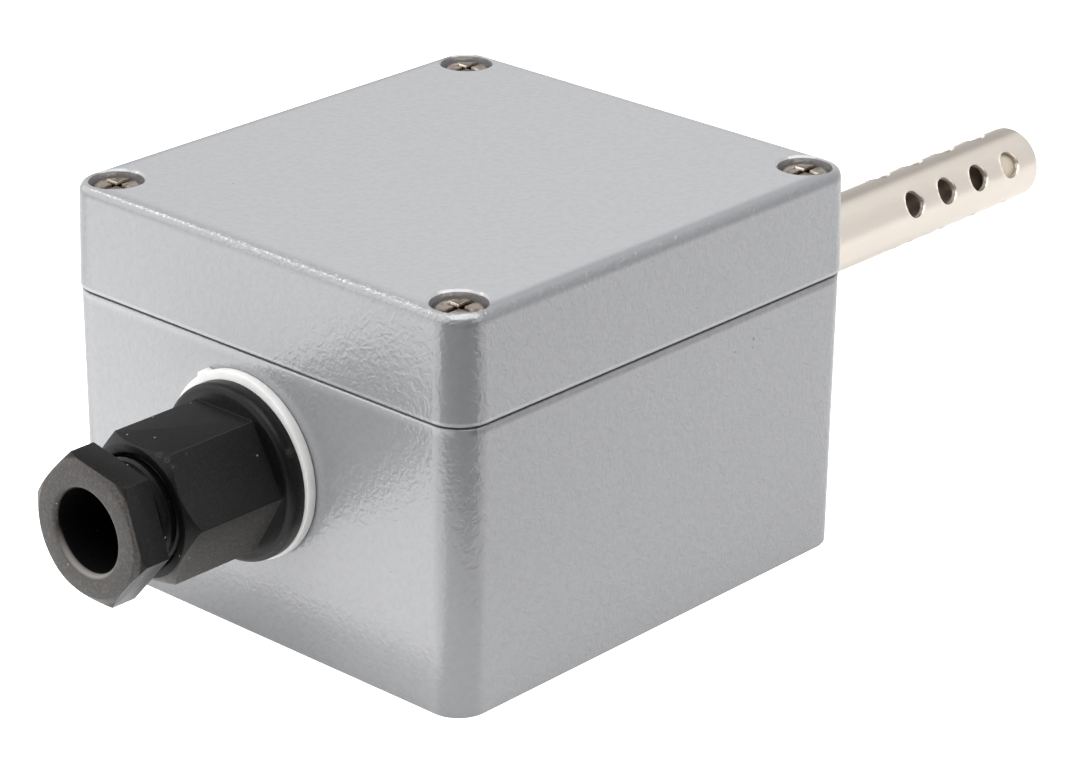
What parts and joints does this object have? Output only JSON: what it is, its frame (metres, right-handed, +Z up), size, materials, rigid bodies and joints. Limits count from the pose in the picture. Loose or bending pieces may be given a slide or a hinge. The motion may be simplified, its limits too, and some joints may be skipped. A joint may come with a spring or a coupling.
{
  "type": "air temperature probe with terminal head",
  "caption": "Perforated stainless air temperature probe on a die-cast terminal box with a cable gland, screwed lid, terminals and lead wires inside.",
  "frame": {"origin": "centre of the enclosure base's underside", "axes": "+Z up through the lid, +X along the probe away from the box, cable gland on -X"},
  "size_m": [0.1981, 0.075, 0.057],
  "materials": {
    "grey_powder_coat": "fine textured, semi-gloss",
    "black_rubber": "matt",
    "nickel_steel": "satin, slightly worn",
    "natural_nylon": "satin",
    "white_nylon": "satin",
    "black_nylon": "moulded, satin",
    "stainless": "drawn tube, satin",
    "nickel_brass": "nickel plated, satin",
    "red_fibre": "matt",
    "beige_ptfe": "matt",
    "amber_resin": "gloss",
    "white_ceramic": "unglazed",
    "grey_block": "moulded, satin",
    "bare_brass": "drawn",
    "red_lead": "satin",
    "white_lead": "satin"
  },
  "bodies": {
    "housing": {"enclosure_base": "grey_powder_coat", "gland_washer": "white_nylon", "gland_body": "black_nylon", "gland_seal": "black_rubber", "gland_locknut": "black_nylon", "probe_tube": "stainless", "probe_bushing": "nickel_brass", "probe_seal": "red_fibre", "probe_locknut": "nickel_brass", "probe_end_plug": "beige_ptfe", "sensor_capsule": "stainless", "capsule_spacer": "beige_ptfe", "capsule_potting": "amber_resin", "sensor_element": "white_ceramic", "lead_wire_1": "red_lead", "lead_wire_2": "red_lead", "lead_wire_3": "white_lead", "terminal_block": "grey_block", "block_screws": "nickel_steel", "terminal_bar_1": "bare_brass", "terminal_bar_2": "bare_brass", "terminal_bar_3": "bare_brass"},
    "lid": {"enclosure_lid": "grey_powder_coat", "lid_gasket": "black_rubber"},
    "gland_nut": {"gland_nut": "black_nylon"},
    "gland_thrust_ring": {"gland_thrust_ring": "black_nylon"},
    "earth_clamp": {"earth_clamp": "bare_brass"},
    "earth_screw": {"earth_screw": "bare_brass"},
    "lid_screw_1": {"lid_screw_1": "nickel_steel"},
    "screw_retainer_1": {"screw_retainer_1": "natural_nylon"},
    "lid_screw_2": {"lid_screw_2": "nickel_steel"},
    "screw_retainer_2": {"screw_retainer_2": "natural_nylon"},
    "lid_screw_3": {"lid_screw_3": "nickel_steel"},
    "screw_retainer_3": {"screw_retainer_3": "natural_nylon"},
    "lid_screw_4": {"lid_screw_4": "nickel_steel"},
    "screw_retainer_4": {"screw_retainer_4": "natural_nylon"},
    "terminal_clamp_1": {"terminal_clamp_1": "nickel_brass"},
    "terminal_screw_1": {"terminal_screw_1": "nickel_steel"},
    "terminal_clamp_2": {"terminal_clamp_2": "nickel_brass"},
    "terminal_screw_2": {"terminal_screw_2": "nickel_steel"},
    "terminal_clamp_3": {"terminal_clamp_3": "nickel_brass"},
    "terminal_screw_3": {"terminal_screw_3": "nickel_steel"},
    "terminal_clamp_4": {"terminal_clamp_4": "nickel_brass"},
    "terminal_screw_4": {"terminal_screw_4": "nickel_steel"},
    "terminal_clamp_5": {"terminal_clamp_5": "nickel_brass"},
    "terminal_screw_5": {"terminal_screw_5": "nickel_steel"},
    "terminal_clamp_6": {"terminal_clamp_6": "nickel_brass"},
    "terminal_screw_6": {"terminal_screw_6": "nickel_steel"}
  },
  "joints": [
    {"name": "lid_lift", "type": "slide", "parent": "housing", "child": "lid", "axis": [0, 0, 1], "range_m": [0, 0.03]},
    {"name": "lid_screw_1_rise", "type": "slide", "parent": "lid", "child": "screw_retainer_1", "axis": [0, 0, 1], "range_m": [0, 0.0077]},
    {"name": "lid_screw_1_turn", "type": "hinge", "parent": "screw_retainer_1", "child": "lid_screw_1", "pos_m": [0.0347, -0.0322, 0.05365], "axis": [0, 0, 1], "range_deg": [0, 3961]},
    {"name": "lid_screw_2_rise", "type": "slide", "parent": "lid", "child": "screw_retainer_2", "axis": [0, 0, 1], "range_m": [0, 0.0077]},
    {"name": "lid_screw_2_turn", "type": "hinge", "parent": "screw_retainer_2", "child": "lid_screw_2", "pos_m": [-0.0347, -0.0322, 0.05365], "axis": [0, 0, 1], "range_deg": [0, 3961]},
    {"name": "lid_screw_3_rise", "type": "slide", "parent": "lid", "child": "screw_retainer_3", "axis": [0, 0, 1], "range_m": [0, 0.0077]},
    {"name": "lid_screw_3_turn", "type": "hinge", "parent": "screw_retainer_3", "child": "lid_screw_3", "pos_m": [-0.0347, 0.0322, 0.05365], "axis": [0, 0, 1], "range_deg": [0, 3961]},
    {"name": "lid_screw_4_rise", "type": "slide", "parent": "lid", "child": "screw_retainer_4", "axis": [0, 0, 1], "range_m": [0, 0.0077]},
    {"name": "lid_screw_4_turn", "type": "hinge", "parent": "screw_retainer_4", "child": "lid_screw_4", "pos_m": [0.0347, 0.0322, 0.05365], "axis": [0, 0, 1], "range_deg": [0, 3961]},
    {"name": "gland_nut_rise", "type": "slide", "parent": "housing", "child": "gland_thrust_ring", "axis": [-1, 0, 0], "range_m": [0, 0.00375]},
    {"name": "gland_nut_turn", "type": "hinge", "parent": "gland_thrust_ring", "child": "gland_nut", "pos_m": [-0.06363, 0.00195, 0.0252], "axis": [-1, 0, 0], "range_deg": [0, 901]},
    {"name": "terminal_screw_1_rise", "type": "slide", "parent": "housing", "child": "terminal_clamp_1", "axis": [0, 0, 1], "range_m": [0, 0.0025]},
    {"name": "terminal_screw_1_turn", "type": "hinge", "parent": "terminal_clamp_1", "child": "terminal_screw_1", "pos_m": [0.0056, -0.009, 0.0127], "axis": [0, 0, 1], "range_deg": [0, 1801]},
    {"name": "terminal_screw_2_rise", "type": "slide", "parent": "housing", "child": "terminal_clamp_2", "axis": [0, 0, 1], "range_m": [0, 0.0025]},
    {"name": "terminal_screw_2_turn", "type": "hinge", "parent": "terminal_clamp_2", "child": "terminal_screw_2", "pos_m": [0.0056, 0, 0.0127], "axis": [0, 0, 1], "range_deg": [0, 1801]},
    {"name": "terminal_screw_3_rise", "type": "slide", "parent": "housing", "child": "terminal_clamp_3", "axis": [0, 0, 1], "range_m": [0, 0.0025]},
    {"name": "terminal_screw_3_turn", "type": "hinge", "parent": "terminal_clamp_3", "child": "terminal_screw_3", "pos_m": [0.0056, 0.009, 0.0127], "axis": [0, 0, 1], "range_deg": [0, 1801]},
    {"name": "terminal_screw_4_rise", "type": "slide", "parent": "housing", "child": "terminal_clamp_4", "axis": [0, 0, 1], "range_m": [0, 0.0025]},
    {"name": "terminal_screw_4_turn", "type": "hinge", "parent": "terminal_clamp_4", "child": "terminal_screw_4", "pos_m": [-0.0056, -0.009, 0.0127], "axis": [0, 0, 1], "range_deg": [0, 1801]},
    {"name": "terminal_screw_5_rise", "type": "slide", "parent": "housing", "child": "terminal_clamp_5", "axis": [0, 0, 1], "range_m": [0, 0.0025]},
    {"name": "terminal_screw_5_turn", "type": "hinge", "parent": "terminal_clamp_5", "child": "terminal_screw_5", "pos_m": [-0.0056, 0, 0.0127], "axis": [0, 0, 1], "range_deg": [0, 1801]},
    {"name": "terminal_screw_6_rise", "type": "slide", "parent": "housing", "child": "terminal_clamp_6", "axis": [0, 0, 1], "range_m": [0, 0.0025]},
    {"name": "terminal_screw_6_turn", "type": "hinge", "parent": "terminal_clamp_6", "child": "terminal_screw_6", "pos_m": [-0.0056, 0.009, 0.0127], "axis": [0, 0, 1], "range_deg": [0, 1801]},
    {"name": "earth_screw_rise", "type": "slide", "parent": "housing", "child": "earth_clamp", "axis": [0, 0, 1], "range_m": [0, 0.0035]},
    {"name": "earth_screw_turn", "type": "hinge", "parent": "earth_clamp", "child": "earth_screw", "pos_m": [-0.025, -0.015, 0.0085], "axis": [0, 0, 1], "range_deg": [0, 1801]}
  ],
  "couplings": [
    {"joint": "lid_screw_1_turn", "follows": "lid_screw_1_rise", "rad_per_m": 8976},
    {"joint": "lid_screw_2_turn", "follows": "lid_screw_2_rise", "rad_per_m": 8976},
    {"joint": "lid_screw_3_turn", "follows": "lid_screw_3_rise", "rad_per_m": 8976},
    {"joint": "lid_screw_4_turn", "follows": "lid_screw_4_rise", "rad_per_m": 8976},
    {"joint": "gland_nut_turn", "follows": "gland_nut_rise", "rad_per_m": 4188.8},
    {"joint": "terminal_screw_1_turn", "follows": "terminal_screw_1_rise", "rad_per_m": 12566},
    {"joint": "terminal_screw_2_turn", "follows": "terminal_screw_2_rise", "rad_per_m": 12566},
    {"joint": "terminal_screw_3_turn", "follows": "terminal_screw_3_rise", "rad_per_m": 12566},
    {"joint": "terminal_screw_4_turn", "follows": "terminal_screw_4_rise", "rad_per_m": 12566},
    {"joint": "terminal_screw_5_turn", "follows": "terminal_screw_5_rise", "rad_per_m": 12566},
    {"joint": "terminal_screw_6_turn", "follows": "terminal_screw_6_rise", "rad_per_m": 12566},
    {"joint": "earth_screw_turn", "follows": "earth_screw_rise", "rad_per_m": 8976}
  ]
}
